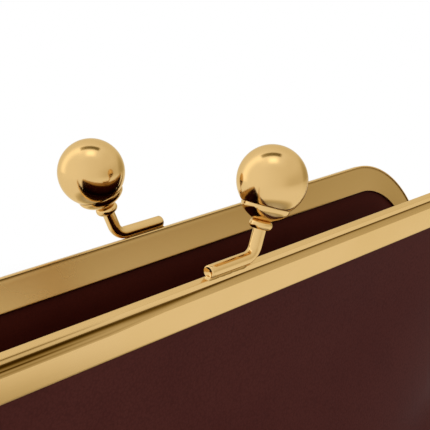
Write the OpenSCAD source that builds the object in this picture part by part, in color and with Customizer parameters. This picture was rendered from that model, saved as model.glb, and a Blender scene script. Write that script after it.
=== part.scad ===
// Frame purse with a two-ball kiss lock: two hinged metal channels, a leather bag and its lining.
// X runs along the frame, Y from front to rear, Z up. The origin is under the middle of the flat base.

/* [Frame] */
// Half the outer length of the frame
frame_half = 115; // [100:1:130]
// Height of the frame's top above the hinge axis
frame_rise = 70; // [60:1:85]
// Outer radius of the frame's corners
corner_r = 25; // [20:1:30]
// Thickness of one channel, front to rear
channel_w = 2.8; // [2.7:0.1:4]
// Thickness of the channel's sheet
sheet = 0.5; // [0.4:0.05:0.6]
// Height of the channel's outward face
face_h = 9; // [7.8:0.1:11]
// Height of the channel's inward face
inner_face_h = 7.3; // [6.4:0.1:8]
// Height of the sloped band at the top of the outward face
band_h = 2.4; // [1.8:0.1:3]
// How far that band leans in
band_lean = 0.9; // [0.3:0.05:0.9]
// Height of the thin lip along the top edge
lip_h = 0.4; // [0.3:0.05:0.7]
// How far the lip stands out from the band
lip_out = 0.15; // [0.05:0.05:0.3]
// Gap between the two channels when shut
closed_gap = 0.3; // [0.2:0.1:0.8]

/* [Opening] */
// Tilt of each frame as photographed
open_angle = 13.5; // [5:0.5:20]
// Tilt of each frame when wide open
open_max = 35; // [25:1:40]

/* [Hinge] */
// Radius of the hinge eyes
eye_r = 3.4; // [2.8:0.1:4]
// Thickness of the hinge eyes
eye_t = 1; // [0.8:0.1:1.4]
// Radius of the rivet's shank
rivet_r = 1.2; // [0.9:0.1:1.5]
// Radius of the rivet's domed head
rivet_head_r = 2.7; // [2.2:0.1:3.2]
// Height of the rivet's domed head
rivet_head_h = 1; // [0.7:0.1:1.5]
// Radial clearance of the rivet in the front eye
rivet_play = 0.05; // [0.02:0.01:0.09]
// Height above the hinge axis where the channels end
leg_end = 6; // [5:0.5:9]

/* [Ball clasp] */
// Radius of the clasp balls
ball_r = 7.5; // [6.5:0.1:8.5]
// Wall of the hollow balls
ball_wall = 0.8; // [0.5:0.1:1.2]
// Gap between the balls as they pass
ball_gap = 0.2; // [0.1:0.05:1]
// Radius of the clasp rods
rod_r = 1.4; // [1.2:0.05:1.4]
// Centre-line radius of the bend in each rod
bend_r = 3.2; // [2.6:0.1:3.6]
// Length of rod from its bend's corner to the ball's centre
stem_len = 16.3; // [15.5:0.1:20]
// Sideways lean of each stem from upright
lean_side = 19.3; // [14:0.1:24]
// Lean of each stem across to the other frame
lean_across = 8.3; // [5:0.1:12]
// Length of rod lying along the frame
rod_foot = 13.8; // [10:0.1:16]
// Thickness of the brazing under each rod
braze_t = 0.05; // [0.02:0.01:0.1]
// Outer radius of the collar under each ball
collar_r = 2.5; // [2.2:0.1:3]

/* [Leather] */
// Thickness of the outer leather
leather_t = 0.9; // [0.6:0.1:0.9]
// Thickness of the lining
lining_t = 0.4; // [0.3:0.05:0.4]
// Thickness of the board in the base
board_t = 1.5; // [1:0.1:2]
// How far the bag's sides lie inside the frame's ends
side_inset = 5; // [3:0.5:12]
// Half the depth of the base
base_half_depth = 22; // [20:1:28]
// Radius of the edge round the base
base_edge_r = 6; // [5:0.5:9]
// Height of the hinge axis above the base
hinge_z = 62; // [52:1:80]
// How far each panel bellies out of its frame
belly = 15; // [10:0.5:16]

/* [Hidden] */
$fn = 64;

GOLD = [0.85, 0.68, 0.40];
BURGUNDY = [0.27, 0.13, 0.125];
LINING = [0.20, 0.07, 0.065];
BOARD = [0.62, 0.52, 0.40];
PAPER = [0.80, 0.74, 0.62];

fit = 0.01;
eye_gap = 0.1;
soft_gap = 0.3;
small_r = 0.1;
cord_gap = 0.05;

// Hinge
rear_eye_x = frame_half + eye_gap;
tab_h = 4;
tab_top = leg_end + tab_h;
joggle_h = 2;
rivet_tail_r = rivet_r + 1;
rivet_tail_h = 0.7;

// Y of the front channel's four sheet surfaces, with the purse shut
y_inward = -closed_gap / 2;
y_inward_back = y_inward - sheet;
y_outward = y_inward - channel_w;
y_outward_back = y_outward + sheet;
y_band = y_outward + band_lean;
y_lip = y_band - lip_out;
cord_t = channel_w - 2 * sheet - leather_t - lining_t - cord_gap;
cord_h = 3;
grip_r = band_h + 0.4;

// Clasp: distances below the ball's centre, along the stem
ball_x = ball_r + ball_gap / 2;
seam_drop = 0.714 * ball_r;
seam_r = sqrt(ball_r * ball_r - seam_drop * seam_drop);
cup_drop = 1.13 * ball_r;
collar_h = 2;
bend_turn = 90 - lean_side;
bend_tangent = bend_r * tan(bend_turn / 2);
bend_x = ball_x - stem_len * sin(lean_side);
stud_r = rod_r - 0.3;
stud_h = cup_drop - seam_drop + 0.5;
bend_thin = 0.02;
bend_lap = 0.3;
rod_chamfer = 0.3;
rod_y = y_inward - channel_w / 2;
seam_gap = 0.05;
cup_wall = 0.35;
cup_spigot = 0.7;
braze_half = rod_y - y_lip;
braze_rise = 0.4 * rod_r;

// Panel and pouch
panel_low = leg_end - 1;
corner_z = frame_rise - corner_r;
free_top = frame_rise - face_h;
panel_cells = 18;
belly_y = -y_outward_back + belly;
rim_clear = 0.8;
rim_z = hinge_z - rim_clear - belly_y * sin(open_max) + panel_low * cos(open_max);
bag_half = frame_half - side_inset;
rim_half_depth = belly_y * cos(open_angle) + panel_low * sin(open_angle);
seam_u = 0.93;
wall_cells = 18;
gusset_cells = 8;
edge_rows = 4;
wall_rows = 8;
base_power = 7;
rim_power = 2.3;
belly_power = 2.6;

// Outline helpers

function unit(v) = v / norm(v);

// The corner b between a and c as an arc of radius r, or as b itself where r is 0.
function corner_arc(a, b, c, r, n = 3) =
    r == 0 ? [b] :
    let (u = unit(a - b), v = unit(c - b), half = acos(u * v) / 2,
         centre = b + unit(u + v) * r / sin(half),
         p = b + u * r / tan(half) - centre, q = b + v * r / tan(half) - centre, turn = 180 - 2 * half)
    [for (i = [0 : n])
        centre + (p * sin(turn * (1 - i / n)) + q * sin(turn * i / n)) / sin(turn)];

// A closed outline of [x, y, radius] corners, each rounded by its radius.
function rounded(corners) =
    let (n = len(corners), at = function (i) [corners[(i + n) % n][0], corners[(i + n) % n][1]])
    [for (i = [0 : n - 1]) each corner_arc(at(i - 1), at(i), at(i + 1), corners[i][2])];

// The channel's section as [distance in from the frame's outer edge, Y].
function channel_section() =
    let (edge = sheet * 0.45)
    rounded([
        [0, y_inward, edge], [inner_face_h, y_inward, edge], [inner_face_h, y_inward_back, small_r],
        [2 * sheet, y_inward_back, small_r], [2 * sheet, y_band + sheet, small_r],
        [band_h + sheet / 3, y_outward_back, small_r], [face_h, y_outward_back, small_r],
        [face_h, y_outward, edge], [band_h, y_outward, 3 * small_r], [lip_h + small_r, y_band, 0],
        [lip_h, y_lip, small_r], [0, y_lip, small_r]
    ]);

// Carries a section of [distance in, Y] round the frame: top, corners and legs down to low.
module round_frame(section, low) {
    rotate([90, 0, 90])
        translate([0, 0, -(frame_half - corner_r)])
            linear_extrude(2 * (frame_half - corner_r))
                polygon([for (p = section) [p[1], frame_rise - p[0]]]);
    for (side = [0, 1])
        mirror([side, 0, 0]) {
            translate([frame_half - corner_r, 0, frame_rise - corner_r])
                rotate([90, 0, 0])
                    rotate_extrude(angle = 90)
                        polygon([for (p = section) [corner_r - p[0], -p[1]]]);
            translate([0, 0, low])
                linear_extrude(frame_rise - corner_r - low)
                    polygon([for (p = section) [frame_half - p[0], p[1]]]);
        }
}

// Places

module on_front() { translate([0, 0, hinge_z]) rotate([open_angle, 0, 0]) children(); }
module on_rear() { translate([0, 0, hinge_z]) rotate([-open_angle, 0, 0]) children(); }

// The front clasp's rod axis: +X along the frame, +Z up its plane of bending.
module on_rod() {
    translate([0, rod_y, frame_rise + braze_t + rod_r]) rotate([-lean_across, 0, 0]) children();
}
// The stem's own axis, +Z from the corner of the bend towards the ball.
module on_stem() { on_rod() translate([bend_x, 0, 0]) rotate([0, lean_side, 0]) children(); }

// Frames and hinge

// Flat eye and tab in the YZ plane, for a channel on the negative Y side.
module eye_plate(x, t, bore_r) {
    translate([x, 0, 0]) rotate([90, 0, 90])
        linear_extrude(t)
            difference() {
                union() {
                    circle(eye_r);
                    polygon([[y_band, tab_top], [y_inward, tab_top], [y_inward, 0], [-eye_r, 0]]);
                }
                circle(bore_r);
            }
}

module front_frame_shape() {
    round_frame(channel_section(), leg_end);
    for (side = [0, 1])
        mirror([side, 0, 0])
            eye_plate(frame_half - eye_t, eye_t, rivet_r + rivet_play);
}

module rear_frame_shape() {
    mirror([0, 1, 0]) {
        round_frame(channel_section(), leg_end);
        for (side = [0, 1])
            mirror([side, 0, 0]) {
                eye_plate(rear_eye_x, eye_t, rivet_r + fit);
                translate([frame_half - eye_t, y_band, tab_top - joggle_h])
                    cube([rear_eye_x + eye_t / 2 - (frame_half - eye_t), y_inward - y_band, joggle_h]);
            }
    }
}

module rivet() {
    inner_face = frame_half - eye_t - eye_gap - rivet_tail_h;
    head_face = rear_eye_x + eye_t;
    dome_r = (pow(rivet_head_r, 2) + pow(rivet_head_h, 2)) / (2 * rivet_head_h);
    rotate([0, 90, 0]) {
        translate([0, 0, inner_face]) cylinder(h = rivet_tail_h, r = rivet_tail_r);
        translate([0, 0, inner_face]) cylinder(h = head_face - inner_face + rivet_head_h / 3, r = rivet_r);
        translate([0, 0, head_face])
            intersection() {
                translate([0, 0, rivet_head_h - dome_r]) sphere(dome_r);
                cylinder(h = rivet_head_h, r = rivet_head_r);
            }
    }
}

// Ball clasp, in the front frame's place

module clasp_rod() {
    on_rod() {
        translate([bend_x - rod_foot, 0, 0]) rotate([0, 90, 0]) {
            cylinder(h = rod_chamfer, r1 = rod_r - rod_chamfer, r2 = rod_r);
            translate([0, 0, rod_chamfer])
                cylinder(h = rod_foot - bend_tangent - rod_chamfer + bend_lap, r = rod_r);
        }
        translate([bend_x - bend_tangent, 0, bend_r]) rotate([90, 0, 0]) rotate([0, 0, -90])
            rotate_extrude(angle = bend_turn) translate([bend_r, 0]) circle(rod_r - bend_thin);
    }
    on_stem() {
        translate([0, 0, bend_tangent - bend_lap])
            cylinder(h = stem_len - cup_drop - bend_tangent + bend_lap, r = rod_r);
        translate([0, 0, stem_len - cup_drop]) cylinder(h = stud_h, r = stud_r);
    }
}

module clasp_braze() {
    start_x = bend_x - rod_foot + rod_chamfer;
    difference() {
        translate([start_x, rod_y, frame_rise]) rotate([90, 0, 90])
            linear_extrude(bend_x - bend_tangent - rod_chamfer - start_x)
                polygon([[-braze_half, 0], [braze_half, 0], [braze_half, braze_rise],
                         [-braze_half, braze_rise]]);
        on_rod() translate([bend_x - rod_foot, 0, 0]) rotate([0, 90, 0])
            cylinder(h = rod_foot, r = rod_r);
    }
}

module clasp_collar() {
    bead_r = collar_h / 2;
    on_stem() translate([0, 0, stem_len - cup_drop - bead_r - fit])
        difference() {
            rotate_extrude() translate([collar_r - bead_r, 0]) circle(bead_r);
            translate([0, 0, -2 * bead_r]) cylinder(h = 4 * bead_r, r = rod_r + fit);
        }
}

module clasp_cup() {
    spigot_r = seam_r - ball_wall - cup_wall;
    height = cup_drop - seam_drop - seam_gap;
    on_stem() translate([0, 0, stem_len - cup_drop])
        rotate_extrude()
            polygon([[stud_r + fit, 0], [collar_r * 0.86, 0], [seam_r * 0.78, height * 0.55],
                     [seam_r - 2 * seam_gap, height], [spigot_r, height], [spigot_r, height + cup_spigot],
                     [stud_r + fit, height + cup_spigot]]);
}

module clasp_ball() {
    on_stem() translate([0, 0, stem_len])
        difference() {
            sphere(ball_r);
            sphere(ball_r - ball_wall);
            translate([-ball_r, -ball_r, -2 * ball_r - seam_drop]) cube(2 * ball_r);
        }
}

// Soft pieces

// A closed shell between an outer grid of points and an inner one, rows upwards.
module shell(outer, inner) {
    nj = len(outer);
    ni = len(outer[0]);
    far = nj * ni;
    at = function (j, i) j * ni + i;
    skin = [for (j = [0 : nj - 2]) for (i = [0 : ni - 2])
        each [[at(j, i), at(j + 1, i), at(j + 1, i + 1)], [at(j, i), at(j + 1, i + 1), at(j, i + 1)]]];
    back = [for (f = skin) [far + f[0], far + f[2], far + f[1]]];
    rim = concat(
        [for (i = [0 : ni - 2]) [at(0, i), at(0, i + 1)]],
        [for (i = [0 : ni - 2]) [at(nj - 1, i + 1), at(nj - 1, i)]],
        [for (j = [0 : nj - 2]) [at(j + 1, 0), at(j, 0)]],
        [for (j = [0 : nj - 2]) [at(j, ni - 1), at(j + 1, ni - 1)]]);
    sides = [for (e = rim) each [[e[0], e[1], far + e[1]], [e[0], far + e[1], far + e[0]]]];
    polyhedron(points = concat([for (r = outer) each r], [for (r = inner) each r]),
               faces = concat(skin, back, sides));
}

// Half the frame's width at height z, measured to a line that runs d inside its outer edge.
function half_at(z, d) =
    z <= corner_z ? frame_half - d
                  : frame_half - corner_r + sqrt(max(0, pow(corner_r - d, 2) - pow(z - corner_z, 2)));

// The X places of the panel's points at height z: its two gripped edges, and the free leather between.
function panel_columns(z) =
    let (grip = half_at(z, grip_r), free = half_at(min(z, free_top), face_h))
    [-grip, each [for (i = [0 : panel_cells]) free * sin(90 * (2 * i / panel_cells - 1))], grip];

// Heights of the panel's rows: the legs, the free leather's corner and the gripped edge above it.
panel_heights =
    let (free_r = corner_r - face_h, edge_r = corner_r - grip_r, start = asin(free_r / edge_r))
    concat([for (i = [0 : 7]) panel_low + (corner_z - panel_low) * i / 7],
           [for (i = [1 : 5]) corner_z + free_r * sin(90 * i / 5)],
           [for (i = [1 : 3]) corner_z + edge_r * sin(start + (90 - start) * i / 3)]);

// How far the panel stands out of its frame at x, z.
function panel_belly(x, z) =
    let (drop = min(1, max(0, (free_top - z) / (free_top - panel_low))),
         across = min(1, abs(x) / half_at(min(z, free_top), face_h)))
    belly * (1 - cos(90 * drop)) * (1 - pow(across, belly_power));

// The panel's grid of points at a depth behind its outer face.
function panel_grid(depth) =
    [for (z = panel_heights) [for (x = panel_columns(z))
        [x, y_outward_back + depth - panel_belly(x, z), z]]];

module panel_layer(depth, t) { shell(panel_grid(depth), panel_grid(depth + t)); }

// Share of the way up from the base's edge to the rim.
function rise(row) = max(0, (row - edge_rows) / wall_rows);
function power(row) = base_power + (rim_power - base_power) * pow(rise(row), 0.8);
function half_depth(row) = base_half_depth + (rim_half_depth - base_half_depth) * rise(row);
// Inset and height of a wall row at a depth behind the outer face.
function row_inset(row, depth) =
    row < edge_rows ? base_edge_r - (base_edge_r - depth) * sin(90 * row / edge_rows) : depth;
function row_z(row, depth) =
    row < edge_rows ? base_edge_r - (base_edge_r - depth) * cos(90 * row / edge_rows)
                    : base_edge_r + (rim_z - base_edge_r) * rise(row);

// A point of the front wall, u from -1 at its left seam to 1 at its right seam.
function wall_point(u, row, depth) =
    let (a = bag_half - row_inset(row, depth), b = half_depth(row) - row_inset(row, depth), n = power(row),
         across = abs(u) * seam_u)
    [u * seam_u * a, -b * pow(1 - pow(across, n), 1 / n), row_z(row, depth)];

// A point of the right gusset, s from -1 at its front seam to 1 at its rear seam.
function gusset_point(s, row, depth) =
    let (a = bag_half - row_inset(row, depth), b = half_depth(row) - row_inset(row, depth), n = power(row),
         y = b * pow(1 - pow(seam_u, n), 1 / n) * s)
    [a * pow(1 - pow(abs(y / b), n), 1 / n), y, row_z(row, depth)];

all_rows = [0 : edge_rows + wall_rows];
function wall_grid(depth) =
    [for (row = all_rows) [for (i = [0 : wall_cells]) wall_point(2 * i / wall_cells - 1, row, depth)]];
function gusset_grid(depth) =
    [for (row = all_rows) [for (i = [0 : gusset_cells]) gusset_point(2 * i / gusset_cells - 1, row, depth)]];

// One row right round the pouch, anticlockwise from the front wall's left seam.
function round_row(row, depth) =
    let (front = [for (i = [0 : wall_cells - 1]) wall_point(2 * i / wall_cells - 1, row, depth)],
         right = [for (i = [0 : gusset_cells - 1]) gusset_point(2 * i / gusset_cells - 1, row, depth)])
    concat(front, right, [for (p = front) [-p[0], -p[1], p[2]]], [for (p = right) [-p[0], -p[1], p[2]]]);

module base_plate(z, t, depth) {
    translate([0, 0, z]) linear_extrude(t)
        polygon([for (p = round_row(0, depth)) [p[0], p[1]]]);
}

// The lining of the pouch: a tray that stands on the base board.
module lining_tray() {
    low = leather_t + board_t;
    lift = function (p, z) [p[0], p[1], max(p[2], z)];
    rows = [for (row = [edge_rows / 2 : edge_rows + wall_rows]) row];
    outer = [for (row = rows) [for (p = round_row(row, leather_t)) lift(p, low)]];
    inner = [for (row = rows) [for (p = round_row(row, leather_t + lining_t)) lift(p, low + lining_t)]];
    nj = len(rows);
    ni = len(outer[0]);
    far = nj * ni;
    at = function (j, i) j * ni + i % ni;
    skin = [for (j = [0 : nj - 2]) for (i = [0 : ni - 1])
        each [[at(j, i), at(j + 1, i), at(j + 1, i + 1)], [at(j, i), at(j + 1, i + 1), at(j, i + 1)]]];
    back = [for (f = skin) [far + f[0], far + f[2], far + f[1]]];
    top = [for (i = [0 : ni - 1]) let (a = at(nj - 1, i + 1), b = at(nj - 1, i))
        each [[a, b, far + b], [a, far + b, far + a]]];
    floors = [[for (i = [0 : ni - 1]) i], [for (i = [ni - 1 : -1 : 0]) far + i]];
    polyhedron(points = concat([for (r = outer) each r], [for (r = inner) each r]),
               faces = concat(skin, back, top, floors));
}

// The band that bends between the pouch's rim and the front panel, as it lies at rest.
module front_fold_shape() {
    last = edge_rows + wall_rows;
    xs = panel_columns(panel_low);
    steps = [0, 0.5, 1];
    low = function (x, depth)
        let (a = bag_half - depth, b = half_depth(last) - depth, n = power(last), u = x / xs[len(xs) - 1])
        [u * a, -b * pow(max(0, 1 - pow(abs(u), n)), 1 / n) - fit, rim_z];
    high = function (x, depth)
        let (y = y_outward_back + depth - panel_belly(x, panel_low), z = panel_low - soft_gap)
        [x, y * cos(open_angle) - z * sin(open_angle), hinge_z + y * sin(open_angle) + z * cos(open_angle)];
    grid = function (depth)
        [for (k = steps) [for (x = xs) (1 - k) * low(x, depth) + k * high(x, depth)]];
    shell(grid(0), grid(leather_t + lining_t));
}

// Nodes

module half_turn() { rotate([0, 0, 180]) children(); }

module front_frame() { color(GOLD) on_front() front_frame_shape(); }
module front_stem() { color(GOLD) on_front() clasp_rod(); }
module front_stem_braze() { color(GOLD) on_front() clasp_braze(); }
module front_collar() { color(GOLD) on_front() clasp_collar(); }
module front_cup() { color(GOLD) on_front() clasp_cup(); }
module front_ball() { color(GOLD) on_front() clasp_ball(); }
module tuck_cord() {
    y = y_inward_back - cord_t;
    round_frame([[grip_r, y], [grip_r + cord_h, y], [grip_r + cord_h, y_inward_back], [grip_r, y_inward_back]],
                leg_end);
}
module front_tuck_cord() { color(PAPER) on_front() tuck_cord(); }
module front_panel() { color(BURGUNDY) on_front() panel_layer(0, leather_t); }
module front_lining() { color(LINING) on_front() panel_layer(leather_t, lining_t); }

module rear_frame() { color(GOLD) on_rear() rear_frame_shape(); }
module rear_stem() { color(GOLD) on_rear() half_turn() clasp_rod(); }
module rear_stem_braze() { color(GOLD) on_rear() half_turn() clasp_braze(); }
module rear_collar() { color(GOLD) on_rear() half_turn() clasp_collar(); }
module rear_cup() { color(GOLD) on_rear() half_turn() clasp_cup(); }
module rear_ball() { color(GOLD) on_rear() half_turn() clasp_ball(); }
module rear_tuck_cord() { color(PAPER) on_rear() half_turn() tuck_cord(); }
module rear_panel() { color(BURGUNDY) on_rear() half_turn() panel_layer(0, leather_t); }
module rear_lining() { color(LINING) on_rear() half_turn() panel_layer(leather_t, lining_t); }
module left_rivet() { color(GOLD) on_rear() mirror([1, 0, 0]) rivet(); }
module right_rivet() { color(GOLD) on_rear() rivet(); }

module front_wall() { color(BURGUNDY) shell(wall_grid(0), wall_grid(leather_t)); }
module rear_wall() { color(BURGUNDY) half_turn() shell(wall_grid(0), wall_grid(leather_t)); }
module right_gusset() { color(BURGUNDY) shell(gusset_grid(0), gusset_grid(leather_t)); }
module left_gusset() { color(BURGUNDY) half_turn() shell(gusset_grid(0), gusset_grid(leather_t)); }
module base_leather() { color(BURGUNDY) base_plate(0, leather_t, 0); }
module base_board() { color(BOARD) base_plate(leather_t, board_t, 0); }
module pouch_lining() { color(LINING) lining_tray(); }
module front_fold() { color(BURGUNDY) front_fold_shape(); }
module rear_fold() { color(BURGUNDY) half_turn() front_fold_shape(); }

front_frame();
front_stem();
front_stem_braze();
front_collar();
front_cup();
front_ball();
front_tuck_cord();
front_panel();
front_lining();
rear_frame();
rear_stem();
rear_stem_braze();
rear_collar();
rear_cup();
rear_ball();
rear_tuck_cord();
rear_panel();
rear_lining();
left_rivet();
right_rivet();
front_wall();
rear_wall();
left_gusset();
right_gusset();
base_leather();
base_board();
pouch_lining();
front_fold();
rear_fold();
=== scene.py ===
# %% [markdown]
# # A frame purse with a kiss lock
#
# The purse has two gold channels that turn on a rivet at each end, and a burgundy leather bag held in the
# channels. Two hollow balls on bent rods snap past each other and keep it shut. The CAD model gives the
# sizes and the moving bodies. This script builds what the eye sees round that frame: metal with rounded
# edges, leather that runs in one skin from the frame to the base, seams with their stitches, and the
# finishes.

from math import asin, cos, pi, radians, sin, sqrt, tan

import bpy
import numpy as np
from mathutils import Matrix, Vector, noise


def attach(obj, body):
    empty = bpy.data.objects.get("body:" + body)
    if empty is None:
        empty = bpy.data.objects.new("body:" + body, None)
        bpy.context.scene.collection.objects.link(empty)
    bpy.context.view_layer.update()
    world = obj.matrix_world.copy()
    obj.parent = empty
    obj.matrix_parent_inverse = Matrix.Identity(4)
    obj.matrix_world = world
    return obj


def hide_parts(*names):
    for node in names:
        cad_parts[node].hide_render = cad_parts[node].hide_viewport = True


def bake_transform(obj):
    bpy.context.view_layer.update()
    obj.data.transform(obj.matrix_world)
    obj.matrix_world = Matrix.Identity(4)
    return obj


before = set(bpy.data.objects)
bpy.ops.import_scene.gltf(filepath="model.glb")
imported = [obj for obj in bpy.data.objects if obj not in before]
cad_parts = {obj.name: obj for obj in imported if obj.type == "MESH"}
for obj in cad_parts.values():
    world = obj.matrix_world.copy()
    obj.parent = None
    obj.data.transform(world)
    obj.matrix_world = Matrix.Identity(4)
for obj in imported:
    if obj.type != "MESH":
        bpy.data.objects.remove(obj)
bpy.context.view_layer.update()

# %% [markdown]
# ## The frame's sizes
#
# A scene that stands round a CAD model needs its sizes again. These are the maker's own for the frame;
# those of the clasp and the bag come with their pieces. All are in millimetres here and become metres in
# one place, where a mesh is made.

# %% The frame's sizes, in millimetres
MM = 0.001
FRAME_HALF = 115.0
FRAME_RISE = 70.0
CORNER_R = 25.0
LEG_END = 6.0
HINGE_Z = 62.0
OPEN_ANGLE = 13.5
SHEET = 0.5
CHANNEL_W = 2.8
FACE_H = 9.0
INNER_FACE_H = 7.3
Y_INWARD = -0.15
Y_OUTWARD = Y_INWARD - CHANNEL_W
print(f"frame {2 * FRAME_HALF:.0f} mm long, its channels {FACE_H:.0f} mm high")

# %% [markdown]
# ## Meshes from rows of points
#
# Nearly every piece here is a skin over rows of points: a ring carried along a path, a profile turned about
# an axis, or a sheet of leather with an outer and an inner side. So a few small helpers are enough. They
# give closed meshes, which also print and export well.

# %% Turn rows of points into a piece
def add_piece(name, points, faces, material, sharp=40):
    """A mesh object from points in millimetres. Edges sharper than the angle stay crisp."""
    mesh = bpy.data.meshes.new(name)
    mesh.from_pydata([tuple(MM * c for c in p) for p in points], [], faces)
    mesh.validate()
    mesh.update()
    mesh.materials.append(material)
    mesh.shade_smooth()
    mesh.set_sharp_from_angle(angle=radians(sharp))
    piece = bpy.data.objects.new(name, mesh)
    bpy.context.collection.objects.link(piece)
    return piece


def tube_faces(rows, columns):
    """Faces of a tube: rows of closed rings, and a cap on each end."""
    faces = []
    for j in range(rows - 1):
        low, high = j * columns, (j + 1) * columns
        for i in range(columns):
            n = (i + 1) % columns
            faces.append((low + i, low + n, high + n, high + i))
    last = (rows - 1) * columns
    return faces + [tuple(range(columns - 1, -1, -1)), tuple(range(last, last + columns))]


print("faces of a tube of 3 rings of 8 points:", len(tube_faces(3, 8)))


# %% Sheets with two sides, and moves along their normals
def shell_faces(rows, columns):
    """Faces of a closed sheet: an outer grid, an inner grid after it, and the edge between them."""
    far = rows * columns
    faces = []
    for j in range(rows - 1):
        for i in range(columns - 1):
            a, d = j * columns + i, (j + 1) * columns + i
            b, c = a + 1, d + 1
            faces += [(a, b, c, d), (far + d, far + c, far + b, far + a)]
    edge = [(i, i + 1) for i in range(columns - 1)]
    edge += [((j + 1) * columns - 1, (j + 2) * columns - 1) for j in range(rows - 1)]
    edge += [(far - 1 - i, far - 2 - i) for i in range(columns - 1)]
    edge += [((rows - 1 - j) * columns, (rows - 2 - j) * columns) for j in range(rows - 1)]
    return faces + [(b, a, far + a, far + b) for a, b in edge]


def grid_normals(grid):
    """Unit normals of a grid of points, rows by columns, that point out of the bag's front."""
    normals = np.cross(np.gradient(grid, axis=1), np.gradient(grid, axis=0))
    return normals / np.maximum(np.linalg.norm(normals, axis=2, keepdims=True), 1e-9)


def pushed(grid, move):
    """A grid after a move out along its normals, in millimetres for each point or each column."""
    return grid + grid_normals(grid) * np.asarray(move)[..., None]


print("faces of a sheet of 3 by 4 points:", len(shell_faces(3, 4)))

# %% [markdown]
# ## Fading in and out
#
# Few things on a handmade object start or stop at a line: a band grows wider along the frame, a fold dies
# away from the hinge. Two small functions make nearly all of those changes, and a third gives the angles of
# a ring.

# %% Shares, swells and rings
def share(value, start, end):
    """0 up to the start, 1 past the end and even in between. The end may be the lower of the two."""
    return np.clip((value - start) / (end - start), 0, 1)


def swell(offset, width):
    """1 in the middle, dying away to both sides over about this width."""
    return np.exp(-(offset / width) ** 2)


def ring_angles(count):
    """Evenly spaced angles round a circle."""
    return [2 * pi * k / count for k in range(count)]


print("a share halfway:", share(5, 0, 10), "and a swell one width out:", round(float(swell(1, 1)), 2))

# %% [markdown]
# ## Places
#
# The front channel is drawn shut and upright, then turned about the hinge line to where the photograph has
# it. The rear one is the same drawing after half a turn about the vertical. The clasp's rod leans across to
# the other frame, and its stem leans sideways, so each of them has a place of its own inside the frame's
# place.

# %% Matrices for the two frames and the clasp
BALL_R = 7.5
BALL_GAP = 0.2
ROD_R = 1.4
ROD_CLEAR = 0.05
STEM_LEN = 16.3
LEAN_SIDE = 19.3
LEAN_ACROSS = 8.3


def turn(angle, axis):
    """A rotation by an angle in degrees."""
    return Matrix.Rotation(radians(angle), 4, axis)


def shift(x, y, z):
    """A move in millimetres."""
    return Matrix.Translation((x, y, z))


def placed(points, matrix):
    """Points after a matrix."""
    m = np.array(matrix)
    return np.asarray(points, float) @ m[:3, :3].T + m[:3, 3]


SIDES = {"front": Matrix.Identity(4), "rear": turn(180, "Z")}
ENDS = {"left": -1, "right": 1}
PLACE = {side: half @ shift(0, 0, HINGE_Z) @ turn(OPEN_ANGLE, "X") for side, half in SIDES.items()}
ROD_Y = Y_INWARD - CHANNEL_W / 2
BEND_X = BALL_R + BALL_GAP / 2 - STEM_LEN * sin(radians(LEAN_SIDE))
ON_ROD = shift(0, ROD_Y, FRAME_RISE + ROD_CLEAR + ROD_R) @ turn(-LEAN_ACROSS, "X")
ON_STEM = ON_ROD @ shift(BEND_X, 0, 0) @ turn(LEAN_SIDE, "Y")
ball_centre = PLACE["front"] @ ON_STEM @ Vector((0, 0, STEM_LEN))
print("front ball's centre in mm:", [round(c, 1) for c in ball_centre])

# %% [markdown]
# ## How materials are made here
#
# A node tree is a list of nodes and the links between them, so one function that adds a node, sets it and
# links it is all that the materials need. Colours are written as sRGB hex, as a colour picker shows them,
# and one function turns them to the linear values that the shader works with. Texture scales come from real
# sizes: a pattern whose cell is 0.6 mm wide repeats 1/0.0006 times in a metre.

# %% Colours and scales
def srgb(code):
    """Linear RGBA from an sRGB hex code."""
    parts = [int(code[i:i + 2], 16) / 255 for i in (1, 3, 5)]
    linear = [p / 12.92 if p <= 0.04045 else ((p + 0.055) / 1.055) ** 2.4 for p in parts]
    return (*linear, 1.0)


def grey(value):
    """A neutral value, for masks and plain light."""
    return (value, value, value, 1.0)


def per_metre(cell_mm):
    """The scale that gives a texture's cell this width in millimetres."""
    return 1.0 / (cell_mm * MM)


print("sRGB #DEBA7C in linear:", [round(c, 3) for c in srgb("#DEBA7C")])

# %% Nodes
# A Mix node has one socket of each name for every kind of data. These are its factor and its colours.
FACTOR, COLOUR_A, COLOUR_B = 0, 6, 7


def wire(tree, node, inputs):
    """Set a node's inputs to values, or link them to sockets or to the outputs that other nodes use."""
    for socket, value in inputs.items():
        if isinstance(value, bpy.types.Node):
            value = next(output for output in value.outputs if output.enabled)
        if isinstance(value, bpy.types.NodeSocket):
            tree.links.new(value, node.inputs[socket])
        else:
            node.inputs[socket].default_value = value


def add_node(tree, kind, inputs=None, stops=(), **settings):
    """A shader node with its settings, its inputs and, for a colour ramp, its stops."""
    node = tree.nodes.new("ShaderNode" + kind)
    for key, value in settings.items():
        setattr(node, key, value)
    wire(tree, node, inputs or {})
    for i, (position, colour) in enumerate(stops):
        elements = node.color_ramp.elements
        element = elements[i] if i < len(elements) else elements.new(position)
        element.position, element.color = position, colour
    return node


def new_finish(name):
    """A material with its node tree, its Principled shader and the object's coordinates."""
    material = bpy.data.materials.new(name)
    material.use_nodes = True
    tree = material.node_tree
    place = add_node(tree, "TexCoord").outputs["Object"]
    return material, tree, tree.nodes["Principled BSDF"], place


print("a texture with cells of 0.6 mm has the scale", round(per_metre(0.6)))
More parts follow.
